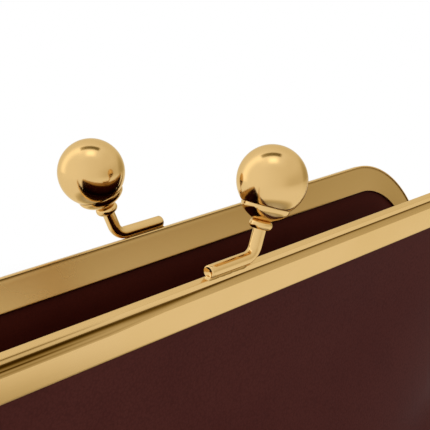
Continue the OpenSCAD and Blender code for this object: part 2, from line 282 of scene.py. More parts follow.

# %% [markdown]
# ## Gold plate
#
# The frame is brass strip, rolled to a channel, polished and plated pale gold. The channels keep fine lines
# along their length from the rolls, so they mirror softly. The clasp's balls and rods are buffed to a
# closer mirror. Real hairlines are hundredths of a millimetre wide and too fine to show, so they are drawn
# half a millimetre wide and so shallow that they only blur what the metal mirrors. Cloudy patches 22 mm
# wide come from handling, and rubbed edges go a little deeper in tone. A value stored on each point paints
# shade into the plate's colour and dulls its gloss there: painted shade in the grooves and on some faces,
# and painted reflections of dark things as lines. A metal keeps the shader's own IOR, as its colour comes
# from its base colour.

# %% Gold plate in two polishes
# Painted shade on the plate, from none through brown to nearly black. Each mesh stores how much each point
# has.
PAINTED_SHADE_RAMP = [(0.0, grey(1)), (0.5, srgb("#C4BA9E")), (0.8, srgb("#927E47")), (1.0, srgb("#594200"))]


def gold_plate(name, blur_low, blur_high, line_mm, line_depth):
    """Gold plate: cloudy gloss, lines from the rolls, worn edges, and painted shade read from the mesh."""
    material, tree, shader, place = new_finish(name)
    cloud = add_node(tree, "TexNoise", {
        "Vector": place, "Scale": per_metre(22.0), "Detail": 3.0, "Roughness": 0.55})
    tone = add_node(tree, "ValToRGB", {"Fac": cloud}, [(0.3, srgb("#DCB87A")), (0.7, srgb("#E1BD81"))])
    edges = add_node(tree, "NewGeometry").outputs["Pointiness"]
    rubbed = add_node(tree, "ValToRGB", {"Fac": edges}, [(0.53, grey(0)), (0.66, grey(0.7))])
    worn = add_node(tree, "Mix", {
        FACTOR: rubbed, COLOUR_A: tone, COLOUR_B: srgb("#D0A660")}, data_type="RGBA")
    # The value named groove on each point is painted shade: it darkens the colour and dulls the gloss.
    groove = add_node(tree, "Attribute", attribute_name="groove").outputs["Fac"]
    darkened = add_node(tree, "ValToRGB", {"Fac": groove}, PAINTED_SHADE_RAMP)
    colour = add_node(tree, "Mix", {
        FACTOR: 1.0, COLOUR_A: worn, COLOUR_B: darkened}, data_type="RGBA", blend_type="MULTIPLY")
    blur = add_node(tree, "MapRange", {
        "Value": cloud, "From Min": 0.3, "From Max": 0.7, "To Min": blur_low, "To Max": blur_high})
    duller = add_node(tree, "Math", {0: groove, 1: 0.5, 2: blur}, operation="MULTIPLY_ADD")
    drawn_out = add_node(tree, "Mapping", {"Vector": place, "Scale": (0.03, 1.0, 1.0)})
    lines = add_node(tree, "TexNoise", {"Vector": drawn_out, "Scale": per_metre(line_mm), "Detail": 2.0})
    relief = add_node(tree, "Bump", {"Strength": 0.5, "Distance": line_depth * MM, "Height": lines})
    wire(tree, shader, {
        "Base Color": colour, "Metallic": 1.0, "Roughness": duller, "Normal": relief,
        "Specular Tint": srgb("#F6EDD6")})
    return material


ROLLED_GOLD = gold_plate("gold_plated_rolled_brass", 0.16, 0.21, line_mm=0.5, line_depth=0.004)
BUFFED_GOLD = gold_plate("gold_plated_buffed_brass", 0.11, 0.14, line_mm=0.4, line_depth=0.001)
print("made", ROLLED_GOLD.name, "and", BUFFED_GOLD.name)

# %% [markdown]
# ## Leather and lining
#
# The bag is box calf in burgundy: smooth, fine grain, a satin finish that shows broad soft highlights. Its
# grain is a field of small cells, each about half a millimetre, with creases finer than a hair between
# them. Hides vary slowly in tone, so a noise 30 mm wide shifts the colour and the gloss a little. The
# lining is a thinner matt skin of the same family.

# %% Burgundy calf and its lining
def calf(name, colours, roughness, grain_mm, depth_mm, strength, specular):
    """Grained leather: two tones, a cell grain and a slow variation of tone and gloss."""
    material, tree, shader, place = new_finish(name)
    hide = add_node(tree, "TexNoise", {"Vector": place, "Scale": per_metre(30.0), "Detail": 4.0})
    tone = add_node(tree, "ValToRGB", {"Fac": hide}, [(0.32, srgb(colours[0])), (0.68, srgb(colours[1]))])
    cells = add_node(tree, "TexVoronoi", {
        "Vector": place, "Scale": per_metre(grain_mm), "Randomness": 0.9}, feature="F1")
    pores = add_node(tree, "TexNoise", {
        "Vector": place, "Scale": per_metre(grain_mm * 0.45), "Detail": 2.0})
    height = add_node(tree, "Math", {0: cells, 1: pores}, operation="ADD")
    shade = add_node(tree, "ValToRGB", {"Fac": cells}, [(0.25, grey(1)), (0.85, grey(0.82))])
    colour = add_node(tree, "Mix", {
        FACTOR: 1.0, COLOUR_A: tone, COLOUR_B: shade}, data_type="RGBA", blend_type="MULTIPLY")
    gloss = add_node(tree, "MapRange", {
        "Value": hide, "From Min": 0.3, "From Max": 0.7,
        "To Min": roughness - 0.04, "To Max": roughness + 0.04})
    relief = add_node(tree, "Bump", {
        "Strength": strength, "Distance": depth_mm * MM, "Height": height}, invert=True)
    wire(tree, shader, {
        "Base Color": colour, "Roughness": gloss, "Normal": relief, "Specular IOR Level": specular})
    return material


CALF = calf("burgundy_box_calf", ("#48211D", "#4F2722"), 0.58, 0.6, 0.05, 0.35, specular=0.02)
LINING = calf("burgundy_lining_skin", ("#3E130B", "#46180F"), 0.6, 0.5, 0.03, 0.25, specular=0.03)
print("skins:", CALF.name, LINING.name)

# %% [markdown]
# ## Thread, paper and board
#
# The seams are sewn in waxed thread one shade lighter than the leather. A cord of twisted paper and a grey
# board are hidden inside. All three are fibre, so one finish does for them: two tones in a noise that is as
# wide as the fibre bundles and is their relief too.

# %% Fibres
def fibre(name, colours, cell_mm, roughness, depth_mm):
    """Thread, paper or board: two tones in a noise that is also its relief."""
    material, tree, shader, place = new_finish(name)
    bundles = add_node(tree, "TexNoise", {
        "Vector": place, "Scale": per_metre(cell_mm), "Detail": 4.0, "Roughness": 0.6})
    tone = add_node(tree, "ValToRGB", {"Fac": bundles}, [
        (0.35, srgb(colours[0])), (0.65, srgb(colours[1]))])
    relief = add_node(tree, "Bump", {"Strength": 0.6, "Distance": depth_mm * MM, "Height": bundles})
    wire(tree, shader, {"Base Color": tone, "Roughness": roughness, "Normal": relief})
    return material


THREAD = fibre("waxed_thread", ("#5A332D", "#6A4038"), 0.15, 0.5, 0.03)
PAPER = fibre("twisted_paper", ("#C2B396", "#D3C6AB"), 0.8, 0.9, 0.05)
BOARD = fibre("grey_board", ("#8F7A5F", "#A38D70"), 1.2, 0.95, 0.05)
print("fibres:", [m.name for m in (THREAD, PAPER, BOARD)])

# %% [markdown]
# ## The channel's section
#
# A maker rolls brass strip to a narrow U section and bends it to the frame's outline. The section matters
# more than the outline here, because the photograph looks straight at it: a flat top strip, a thin rolled
# lip, a sloped band, then the flat face. So the section is a short list of corners, each with its own
# radius.

# %% Outlines with rounded corners
def round_corner(before, corner, after, radius, steps):
    """A corner as an arc of points."""
    before, corner, after = (np.array(p, float) for p in (before, corner, after))
    if radius == 0:
        return [corner]
    u = (before - corner) / np.linalg.norm(before - corner)
    v = (after - corner) / np.linalg.norm(after - corner)
    half = np.arccos(np.clip(u @ v, -1, 1)) / 2
    middle = corner + (u + v) / np.linalg.norm(u + v) * radius / np.sin(half)
    p, q = (corner + way * radius / np.tan(half) - middle for way in (u, v))
    full = pi - 2 * half
    return [middle + (p * np.sin(full * (1 - t)) + q * np.sin(full * t)) / np.sin(full)
            for t in np.linspace(0, 1, steps + 1)]


def rounded_outline(corners, steps=4):
    """A closed outline from (x, y, radius) corners."""
    points = []
    for i, (x, y, radius) in enumerate(corners):
        before, after = corners[i - 1][:2], corners[(i + 1) % len(corners)][:2]
        points += round_corner(before, (x, y), after, radius, steps)
    return np.array(points)


square = rounded_outline([(0, 0, 1), (4, 0, 1), (4, 4, 1), (0, 4, 1)])
print("points of a square with round corners:", len(square))

# %% [markdown]
# ## Its shape along the frame, and its painted shade
#
# Left of the clasp the rolls left a wider, hollow band, so the section changes along the frame. The inside
# face is rolled hollow too. Painted shade follows the section: on the inside face and the band, strong in
# the grooves, and in dark lines along the band that stand for what the metal mirrors dark. A value stored
# on each point of the mesh holds it, and needs no picture and no unwrapping.

# %% The section's sizes
EDGE_R = 0.24
FINE_R = 0.1
LIP_H = 1.25
LIP_OUT = 0.15
BAND_H = 2.9
BAND_LEAN = 0.9
BAND_WIDER = 0.6
BAND_DISH = 0.12
GROOVE_DEEP = 0.2
GROOVE_LOWER = 0.32
INNER_LIP_H = 0.34
INNER_DISH = 0.52
Y_BAND = Y_OUTWARD + BAND_LEAN
Y_LIP = Y_BAND - LIP_OUT
INNER_GROOVE = (INNER_LIP_H + 0.1, Y_INWARD - 0.58)


def left_shares(x):
    """How far the band has its wide left form at x, and how far x lies in the part left of that with more
    painted shade.
    """
    left = share(x, -25.0, -38.0) * share(x, -100.0, -78.0)
    return left, share(x, -36.0, -58.0) * left


print("the left form at x = -30, -60 and -90:", [round(float(left_shares(x)[0]), 2) for x in (-30, -60, -90)])


# %% How much painted shade it has
INNER_FACE_PAINTED_SHADE = 0.27
BAND_PAINTED_SHADE = 0.1


def section_painted_shade(x, outline, shoulder, groove):
    """How much painted shade each point of the section has, from 0 to 1."""
    left, far_left = left_shares(x)
    h, y = outline.T
    inner, outer = y > Y_INWARD - 0.65, y < Y_BAND + 0.1
    # Painted shade on the inside face, stronger towards negative x, and on the band, stronger towards the lip
    # and far left.
    depth = np.where(inner & (h > INNER_LIP_H), INNER_FACE_PAINTED_SHADE - 0.15 * share(x, -40.0, 60.0), 0.0)
    on_band = outer & (h > LIP_H) & (h < shoulder)
    depth += np.where(on_band, BAND_PAINTED_SHADE * (1 + shoulder - h) + 0.15 * far_left, 0.0)
    # Spots of painted shade: a point of the section, how wide the dark lies round it, and how strong it is.
    spots = [(INNER_GROOVE, 0.15, 0.3 + 0.3 * share(x, -10.0, 30.0)), ((FACE_H, Y_OUTWARD + 0.1), 0.22, 0.5)]
    for spot, wide, strength in spots:
        depth += strength * swell(np.linalg.norm(outline - spot, axis=1), wide)
    # Dark lines on the outside, painted reflections: how far in from the edge each one runs, and again its
    # width and strength.
    lines = [
        (groove[0], 0.2 + 0.3 * share(x, -15.0, -25.0), 0.65), (2.6, 0.15, 0.65 * far_left),
        (shoulder - 0.35, 0.14, 0.25 * left), (0.35, 0.16, 0.75 * far_left),
    ]
    for line_h, wide, strength in lines:
        depth += np.where(outer, strength * swell(h - line_h, wide), 0.0)
    return np.minimum(depth, 1.0)


print("tarnish of the inner face and of the band:", INNER_FACE_PAINTED_SHADE, BAND_PAINTED_SHADE)


# %% The section at any place along the frame
def channel_section(x):
    """The section at x as points (distance in from the frame's edge, y), and how much painted shade each one
    has.
    """
    left = left_shares(x)[0]
    shoulder = BAND_H + BAND_WIDER * left
    groove = (LIP_H + GROOVE_DEEP + GROOVE_LOWER * share(x, 0.0, -15.0), Y_LIP + GROOVE_DEEP)
    band = [(shoulder + (groove[0] - shoulder) * u,
             Y_OUTWARD + (Y_LIP + 0.05 - Y_OUTWARD) * u + BAND_DISH * left * sin(pi * u), 0)
            for u in np.linspace(0.08, 0.94, 14)]
    hollow_from = INNER_LIP_H + 0.6
    hollow = [(hollow_from + (INNER_FACE_H - hollow_from) * t, Y_INWARD - INNER_DISH * (1 - t ** 2), 0)
              for t in np.linspace(0, 0.9, 10)]
    outline = rounded_outline([
        # The inner lip, the groove below it, and the hollow inner face down to its edge.
        (0, Y_INWARD - 0.36, 0.12), (INNER_LIP_H, Y_INWARD - 0.32, 0.05), (*INNER_GROOVE, 0.06),
        *hollow, (INNER_FACE_H, Y_INWARD, EDGE_R),
        # The inside of the channel, which grips the leather.
        (INNER_FACE_H, Y_INWARD - SHEET, FINE_R), (2 * SHEET, Y_INWARD - 0.4 - SHEET, 0.2),
        (2 * SHEET, Y_BAND + SHEET + 0.1, 0.2), (shoulder + SHEET / 3, Y_OUTWARD + SHEET, 0.3),
        (FACE_H, Y_OUTWARD + SHEET, FINE_R),
        # The outer face, the band up to its groove, and the rolled lip, with points between for the painted
        # shade.
        (FACE_H, Y_OUTWARD, EDGE_R), (FACE_H - 0.6, Y_OUTWARD, 0), (shoulder, Y_OUTWARD, 0.3), *band,
        (*groove, 0.08), (LIP_H, Y_LIP, 0.12), *[(h, Y_LIP, 0) for h in (1.0, 0.7, 0.5, 0.35, 0.2)],
        (0, Y_LIP, 0.14),
    ])
    return outline, section_painted_shade(x, outline, shoulder, groove)


print("points in the section:", len(channel_section(0)[0]))

# %% [markdown]
# ## The two channels
#
# The section is carried up one leg, round a corner, along the top and down the other leg, as the strip
# itself was bent round a form. A curve with a bevel could do that too, but then the section could not
# change on the way.

# %% The section carried round the frame
def frame_stations(low=LEG_END, arc_steps=28, top_steps=60, leg_steps=10):
    """Places round the frame: a point on its outer edge and the direction in towards the bag."""
    straight = FRAME_HALF - CORNER_R
    knee = FRAME_RISE - CORNER_R
    right = [(FRAME_HALF, z, -1.0, 0.0) for z in np.linspace(low, knee, leg_steps + 1)[:-1]]
    for a in np.linspace(0, 90, arc_steps + 1):
        c, s = cos(radians(a)), sin(radians(a))
        right.append((straight + CORNER_R * c, knee + CORNER_R * s, -c, -s))
    top = [(x, FRAME_RISE, 0.0, -1.0) for x in np.linspace(straight, -straight, top_steps + 1)[1:-1]]
    return right + top + [(-x, z, -dx, dz) for x, z, dx, dz in reversed(right)]


def painted_shade(piece, depths):
    """Store how much painted shade each point of a gold piece has, for its finish to read."""
    # The value goes under the name groove, which the gold finish reads as painted shade.
    stored = piece.data.attributes.new("groove", "FLOAT", "POINT")
    stored.data.foreach_set("value", np.array(depths, np.float32))


def add_channel(side):
    """One channel in its place."""
    points, depths = [], []
    stations = frame_stations()
    for x, z, dx, dz in stations:
        outline, depth = channel_section(x)
        points += [(x + d * dx, y, z + d * dz) for d, y in outline]
        depths.extend(depth)
    faces = [f[::-1] for f in tube_faces(len(stations), len(depths) // len(stations))]
    piece = add_piece(f"{side}_channel", placed(points, PLACE[side]), faces, ROLLED_GOLD, sharp=50)
    painted_shade(piece, depths)
    return piece


channels = {side: add_channel(side) for side in SIDES}
print("channel faces:", len(channels["front"].data.polygons))

# %% [markdown]
# ## Hinge eyes
#
# Each leg ends in a flat eye of 1 mm strip, and the front eyes lie inside the rear ones. The rivet fills
# the eye's hole and hides it, so the eye is drawn as a plain plate: one outline, repeated four times
# through its thickness and a little smaller at both sides, which breaks the edge.

# %% Eyes
EYE_R = 3.4
EYE_T = 1.0
EYE_CLEAR = 0.1
BROKEN_EDGE = 0.15
TAB_LOW = 3.6
TAB_TOP = 10.0
REAR_EYE_X = FRAME_HALF + EYE_CLEAR


def add_eye(side, end):
    """A hinge eye at one end of a channel: a rounded plate, and the tab that joins it to the leg."""
    start = FRAME_HALF - EYE_T if side == "front" else REAR_EYE_X
    mirror = ENDS[end] * (1 if side == "front" else -1)
    outline = [(EYE_R * cos(a), EYE_R * sin(a)) for a in np.linspace(-pi, 0, 33)]
    outline += [(EYE_R, 0.4), (Y_INWARD, TAB_LOW), (Y_INWARD, TAB_TOP), (Y_BAND, TAB_TOP)]
    middle = np.mean(outline, axis=0)
    spokes = np.array(outline) - middle
    reach = np.linalg.norm(spokes, axis=1, keepdims=True)
    layers = ((0, BROKEN_EDGE), (BROKEN_EDGE, 0), (EYE_T - BROKEN_EDGE, 0), (EYE_T, BROKEN_EDGE))
    points = [(mirror * (start + x), y, z)
              for x, inset in layers for y, z in middle + spokes * (1 - inset / reach)]
    faces = [f[::-mirror] for f in tube_faces(len(layers), len(outline))]
    return add_piece(f"{side}_{end}_eye", placed(points, PLACE[side]), faces, ROLLED_GOLD, sharp=30)


eyes = {(side, end): add_eye(side, end) for side in SIDES for end in ENDS}
print("eyes:", len(eyes))

# %% [markdown]
# ## Rivets
#
# A rivet's shank is pressed through both eyes. Its head is a low dome on the outside, and its tail is
# spread on the inside. Rivets, collars, cups and balls are all turned on a lathe, so one function turns a
# profile about an axis for each of them, as the Spin tool would, with a single point where the profile
# meets the axis.

# %% Turned pieces and the rivets
RIVET_R = 1.2
HEAD_R, HEAD_H, HEAD_RIM = 2.7, 1.0, 0.15
TAIL_R, TAIL_H, TAIL_EDGE = 2.2, 0.7, 0.3


def add_turned(name, profile, matrix, steps=48):
    """A profile of (radius, height) turned about Z. A radius of 0 closes an end."""
    points, faces, rings = [], [], []
    for r, h in profile:
        ring = [(r * cos(a), r * sin(a), h) for a in ring_angles(steps)] if r else [(0.0, 0.0, h)]
        rings.append(range(len(points), len(points) + len(ring)))
        points += ring
    for low, high in zip(rings, rings[1:]):
        for k in range(steps):
            n = (k + 1) % steps
            corners = (low[k % len(low)], low[n % len(low)], high[n % len(high)], high[k % len(high)])
            faces.append(tuple(dict.fromkeys(corners)))
    return add_piece(name, placed(points, matrix), faces, BUFFED_GOLD)


def add_rivet(end):
    """A rivet with a domed head outside and a spread tail inside."""
    inner = FRAME_HALF - EYE_T - EYE_CLEAR - TAIL_H
    outer = REAR_EYE_X + EYE_T
    profile = [
        (0.0, inner), (TAIL_R - TAIL_EDGE, inner), (TAIL_R, inner + TAIL_EDGE), (TAIL_R, inner + TAIL_H),
        (RIVET_R, inner + TAIL_H), (RIVET_R, outer), (HEAD_R - 0.1, outer),
    ]
    profile += [(HEAD_R * cos(a), outer + HEAD_H * (HEAD_RIM + (1 - HEAD_RIM) * sin(a)))
                for a in np.linspace(0, pi / 2, 13)[:-1]]
    profile.append((0.0, outer + HEAD_H))
    # The rear frame is drawn facing the other way, so the right rivet has to turn back.
    facing = SIDES["rear" if end == "right" else "front"]
    return add_turned(f"{end}_hinge_rivet", profile, PLACE["rear"] @ facing @ turn(90, "Y"))


rivets = {end: add_rivet(end) for end in ENDS}
print("rivets:", [rivet.name for rivet in rivets.values()])

# %% [markdown]
# ## The clasp's rods
#
# Each half of the clasp starts as a rod that lies along the top of its channel and bends up to its ball. A
# rod pulled round a bend thins a little there, and its sawn end was filed hollow. So the rod is a tube of
# rings, and each ring has its own place, direction and radius.

# %% Rods
BEND_R = 3.2
BEND = radians(90 - LEAN_SIDE)
BEND_START = BEND_X - BEND_R * tan(BEND / 2)
BEND_THINS = 0.05
ROD_FOOT = 13.8
ROD_START = BEND_X - ROD_FOOT
CUP_DROP = 1.13 * BALL_R
# The filed end from its middle out: how far along the rod, and the radius there.
FILED_END = [(0.5, 0.08), (0.46, 0.25), (0.06, 1.0), (0.0, ROD_R - 0.28), (0.08, ROD_R - 0.1), (0.26, ROD_R)]


def rod_path():
    """The rod's centre line as (x, z, direction, radius) in its own plane, from its end to the stem's top."""
    path = [(ROD_START + x, 0.0, 0.0, r) for x, r in FILED_END]
    path += [(x, 0.0, 0.0, ROD_R) for x in np.linspace(ROD_START + 1.5, BEND_START, 8)]
    for a in np.linspace(0, BEND, 17)[1:]:
        thin = ROD_R - BEND_THINS * sin(pi * a / BEND)
        path.append((BEND_START + BEND_R * sin(a), BEND_R * (1 - cos(a)), a, thin))
    x0, z0 = path[-1][:2]
    rest = STEM_LEN - CUP_DROP - BEND_R * tan(BEND / 2)
    return path + [(x0 + t * cos(BEND), z0 + t * sin(BEND), BEND, ROD_R) for t in np.linspace(0, rest, 6)[1:]]


def add_rod(side, around=40):
    """The bent rod of one clasp."""
    path = rod_path()
    points = [(x - r * cos(b) * sin(a), r * sin(b), z + r * cos(b) * cos(a))
              for x, z, a, r in path for b in ring_angles(around)]
    faces = tube_faces(len(path), around)
    return add_piece(f"{side}_clasp_rod", placed(points, PLACE[side] @ ON_ROD), faces, BUFFED_GOLD)


rods = {side: add_rod(side) for side in SIDES}
print("rod path points:", len(rod_path()))

# %% [markdown]
# ## Brazing
#
# Brazing brass runs into the corners under the rod and freezes there, a little lumpy. Its edge along the
# strip is painted dark, a painted shade. It is a low ridge: one half round of points repeated along the rod,
# its height and width moved by a few sine waves. The waves' seed is fixed, so that every run gives the same
# ridge.

# %% Brazing
BRAZE_HALF = 1.0
BRAZE_HEIGHT = 0.95
BRAZE_Y = ROD_Y - 0.25
LUMP_PITCH = 2.0


def add_braze(side, around=14, along=70):
    """The run of braze that fills the corners under a rod."""
    rng = np.random.default_rng(11)
    start, end = ROD_START - 0.5, BEND_START - 0.2
    waves = [(rng.uniform(0.4, 1.3), rng.uniform(0, 2 * pi), rng.uniform(0.05, 0.1)) for _ in range(5)]
    points = []
    for t in np.linspace(0, 1, along):
        x = start + (end - start) * t
        taper = min(1.0, 10 * t, 10 * (1 - t)) ** 0.5
        lump = sum(size * sin(2 * pi * rate * (x - start) / LUMP_PITCH + phase)
                   for rate, phase, size in waves)
        wide = (BRAZE_HALF + 0.5 * lump) * (0.55 + 0.45 * taper)
        tall = (BRAZE_HEIGHT + lump) * taper
        points += [(x, BRAZE_Y + wide * u, FRAME_RISE + tall * (1 - 0.85 * u ** 4) + 0.01)
                   for u in np.linspace(-1, 1, around)]
        points += [(x, ROD_Y + foot * BRAZE_HALF, FRAME_RISE - 0.02) for foot in (0.6, -0.6)]
    faces = [f[::-1] for f in tube_faces(along, around + 2)]
    piece = add_piece(f"{side}_braze", placed(points, PLACE[side]), faces, BUFFED_GOLD, sharp=60)
    # Painted shade along both edges of the braze and at its two feet, stored for the finish to read.
    painted_shade_edge = [0.7, 0.2] + [0.0] * (around - 4) + [0.2, 0.7] + [0.7] * 2
    painted_shade(piece, painted_shade_edge * along)
    return piece


brazes = {side: add_braze(side) for side in SIDES}
print("braze faces:", len(brazes["front"].data.polygons))

# %% [markdown]
# ## Collars, cups and balls
#
# On the stem sit a round collar, a tapered cup and a hollow ball that closes on the cup. A ball of thin
# brass is pressed in two parts, so a fine seam runs round it: the ball is cut flat there, and the cup's
# rolled rim stands a hair below its edge. The balls are the first thing one looks at, so they get the most
# steps.

# %% Collars, cups and balls
COLLAR_R = 2.5
BEAD_R = 1.0
HOLE_R = ROD_R + 0.02
SEAM_DROP = 0.714 * BALL_R
SEAM_R = sqrt(BALL_R ** 2 - SEAM_DROP ** 2)
CUP_H = CUP_DROP - SEAM_DROP - 0.05
CUP_FOOT = COLLAR_R * 0.86
CUP_RIM = SEAM_R - 0.05


def collar_profile():
    """A round bead with the rod's hole through it, as a closed loop."""
    bead = [(COLLAR_R - BEAD_R + BEAD_R * cos(a), BEAD_R * sin(a)) for a in np.linspace(-pi / 2, pi / 2, 17)]
    low, high = (HOLE_R, -BEAD_R * 0.96), (HOLE_R, BEAD_R * 0.96)
    return [low] + bead + [high, low]


def cup_profile():
    """A pressed cup: a flat foot, a side that swells and a thin rolled rim under the ball."""
    side = [(CUP_FOOT + (CUP_RIM - CUP_FOOT) * sin(t * pi / 2) ** 0.9, CUP_H * 0.9 * t)
            for t in np.linspace(0.04, 1, 14)]
    rim = [(CUP_RIM + 0.03, CUP_H * 0.93), (CUP_RIM, CUP_H * 0.99), (CUP_RIM - 0.12, CUP_H)]
    return [(0.0, 0.0), (COLLAR_R * 0.84, 0.0)] + side + rim + [(CUP_RIM - 0.6, CUP_H), (0.0, CUP_H - 0.4)]


def ball_profile():
    """A sphere cut flat at the seam, its edge turned in."""
    low = asin(-SEAM_DROP / BALL_R)
    skin = [(BALL_R * cos(a), BALL_R * sin(a)) for a in np.linspace(low + 0.015, pi / 2, 72)[:-1]]
    edge = [(0.0, -SEAM_DROP + 0.4), (SEAM_R - 0.5, -SEAM_DROP + 0.05), (SEAM_R - 0.1, -SEAM_DROP)]
    return edge + skin + [(0.0, BALL_R)]


def add_clasp_top(side):
    """The collar, cup and ball of one clasp, each at its height on the stem."""
    tops = {
        "collar": (collar_profile(), STEM_LEN - CUP_DROP - BEAD_R - 0.01, 56),
        "cup": (cup_profile(), STEM_LEN - CUP_DROP, 96),
        "ball": (ball_profile(), STEM_LEN, 128),
    }
    stem = PLACE[side] @ ON_STEM
    return {part: add_turned(f"{side}_clasp_{part}", profile, stem @ shift(0, 0, height), steps)
            for part, (profile, height, steps) in tops.items()}


clasp_tops = {side: add_clasp_top(side) for side in SIDES}
print("ball seam radius in mm:", round(SEAM_R, 2))

# %% [markdown]
# ## The leather's surface
#
# The bag has to hang from the frame, belly out below it and close round the base. Five flat plates could
# not do that, so the bag is lofted: rows of points from the base's edge up into the channel, each row bent
# round the bag, with a smooth curve up every column. The lower rows are rounded rectangles, the upper ones
# are the frame's own panel. Front and rear are the same surface after half a turn.

# %% Rows of the bag
BAG_HALF = 110.0
BASE_HALF_DEPTH = 22.0
BASE_EDGE_R = 6.0
BELLY = 15.0
RIM_Z = 55.3
RIM_HALF_DEPTH = 18.13
GRIP_H = BAND_H + 0.4
Y_GRIP = Y_OUTWARD + SHEET + 0.03
KNEE = FRAME_RISE - CORNER_R


def half_width(z, inset):
    """Half the frame's width at height z, measured to a line that runs inside its outer edge."""
    if z <= KNEE:
        return FRAME_HALF - inset
    return FRAME_HALF - CORNER_R + sqrt(max(0.0, (CORNER_R - inset) ** 2 - (z - KNEE) ** 2))


def bag_ring(shares, z, inset):
    """A row of the pouch at height z: a rounded rectangle, by shares of its half width from -1 to 1."""
    rise = share(z, BASE_EDGE_R, RIM_Z)
    half_depth = BASE_HALF_DEPTH + (RIM_HALF_DEPTH - BASE_HALF_DEPTH) * rise - inset
    # The corners are tight at the base and soften towards the rim.
    n = 7.0 - 4.7 * rise ** 0.8
    y = -half_depth * (1 - np.abs(shares) ** n) ** (1 / n)
    return np.stack([(BAG_HALF - inset) * shares, y, np.full_like(shares, z)], axis=1)


def panel_ring(shares, z):
    """A row of the framed panel at height z above the hinge, turned to where the frame stands."""
    free_top = FRAME_RISE - FACE_H
    x = half_width(z, GRIP_H) * shares
    free = half_width(min(z, free_top), FACE_H)
    drop = share(z, free_top, LEG_END - 1)
    bulge = BELLY * (1 - cos(pi / 2 * drop)) * (1 - np.minimum(1, np.abs(x) / free) ** 2.6)
    return placed(np.stack([x, Y_GRIP - bulge, np.full_like(x, z)], axis=1), PLACE["front"])


def key_rows(shares):
    """The rows that the surface passes through, from the base's edge to the grip in the channel."""
    rows = []
    for a in np.radians((0, 30, 60, 90)):
        rows.append(bag_ring(shares, BASE_EDGE_R * (1 - cos(a)), BASE_EDGE_R * (1 - sin(a))))
    rows += [bag_ring(shares, z, 0.0) for z in (12, 22, 32, 42, 48)]
    rows += [panel_ring(shares, z) for z in (7, 12, 20, 28, 36, KNEE)]
    top = FRAME_RISE - GRIP_H
    return np.array(rows + [panel_ring(shares, KNEE + (top - KNEE) * sin(a))
                            for a in np.radians((20, 35, 50, 65, 78, 90))])


print("rows that the surface passes through:", len(key_rows(np.array([-1.0, 0.0, 1.0]))))


# %% A smooth surface through the rows
def bag_surface(columns, rows=110):
    """A dense smooth grid: columns of -1 to 1 round the front half, rows up from the base's edge."""
    keys = key_rows(np.sin(pi / 2 * columns))
    step = np.linalg.norm(np.diff(keys, axis=0), axis=2).mean(axis=1)
    at = np.concatenate([[0], np.cumsum(step)])
    slope = np.gradient(keys, at, axis=0)
    where = np.linspace(0, at[-1], rows)
    k = np.clip(np.searchsorted(at, where, side="right") - 1, 0, len(at) - 2)
    gap = (at[k + 1] - at[k])[:, None, None]
    t = (where - at[k])[:, None, None] / gap
    return ((2 * t ** 3 - 3 * t ** 2 + 1) * keys[k] + (t ** 3 - 2 * t ** 2 + t) * gap * slope[k]
            + (3 * t ** 2 - 2 * t ** 3) * keys[k + 1] + (t ** 3 - t ** 2) * gap * slope[k + 1])


corner_columns = np.linspace(0.9, 1, 14)[1:]
bag_columns = np.concatenate([-corner_columns[::-1], np.linspace(-0.9, 0.9, 91), corner_columns])
bag_grid = bag_surface(bag_columns)
print("bag surface:", bag_grid.shape, "lowest and highest z:", bag_grid[:, :, 2].min().round(1),
      bag_grid[:, :, 2].max().round(1))

# %% [markdown]
# ## How the leather moves off that surface
#
# A smooth loft still looks like plastic. Real calf sags a little between its seams and draws into soft
# folds where it is held at the hinges. Each of these is a small move along the surface's normal, made from
# noise and from the distance to the hinge. A cloth simulation would cost minutes and give no more, as the
# leather is stretched in its frame.

# %% Sag and folds
SAG = 0.55
FOLD = 0.28
FOLDS_ROUND = 7.0


def wander(points, size, seed):
    """Smooth noise of -1 to 1 at points, with features about this size in millimetres."""
    values = [noise.noise(Vector(p) / size + Vector((seed, 0, 0))) for p in points.reshape(-1, 3)]
    return np.array(values).reshape(points.shape[:-1])


def leather_move(grid):
    """How far each point of the bag's surface moves out along its normal, in millimetres."""
    out, z = FRAME_HALF - np.abs(grid[:, :, 0]), grid[:, :, 2]
    held = share(z, 122.0, 100.0) * share(z, 0.0, 12.0)
    sag = SAG * wander(grid, 42.0, 3.1)
    reach = np.hypot(out, z - HINGE_Z)
    bearing = np.arctan2(z - HINGE_Z, out)
    drawn = FOLD * np.exp(-reach / 24.0) * np.cos(FOLDS_ROUND * bearing + 1.2) * share(reach, 0.0, 10.0)
    return (sag + drawn) * held


bag_skin = pushed(bag_grid, leather_move(bag_grid))
print("furthest move in mm:", np.abs(bag_skin - bag_grid).max().round(2))

# %% [markdown]
# ## The body leather
#
# A maker cuts the bag from a few pieces: one body piece each side and a gusset at each end. Here they are
# cut from the one lofted surface along the seam's line, so neighbours meet exactly. Beside the seam the
# leather turns in, which the closely spaced columns at its edge are for, and each piece gets its real
# thickness.

# %% Pieces cut from the surface
LEATHER_T = 0.9
SEAM_TURN = 0.55
SEAM_FADE = (66.0, 58.0)


def seam_column(z):
    """The column where the gusset's seam runs at height z: straight up the bag, then in to the hinge."""
    return 0.76 + 0.235 * share(z, 30.0, 66.0) ** 2.2


def cut(columns_at, rows=None):
    """A piece of the bag's surface: from each row, the columns that the cut keeps at that height."""
    kept = []
    for row in bag_skin[:rows]:
        columns = columns_at(row[:, 2].mean())
        kept.append(np.stack([np.interp(columns, bag_columns, axis) for axis in row.T], axis=1))
    return np.array(kept)


def add_sheet(name, outer, thickness, material, side="front", gap=0.0):
    """A closed sheet of leather: an outer grid and an inner one behind it."""
    grids = [pushed(outer, depth).reshape(-1, 3) for depth in (-gap, -(gap + thickness))]
    faces = shell_faces(*outer.shape[:2])
    return add_piece(name, placed(np.concatenate(grids), SIDES[side]), faces, material, sharp=60)


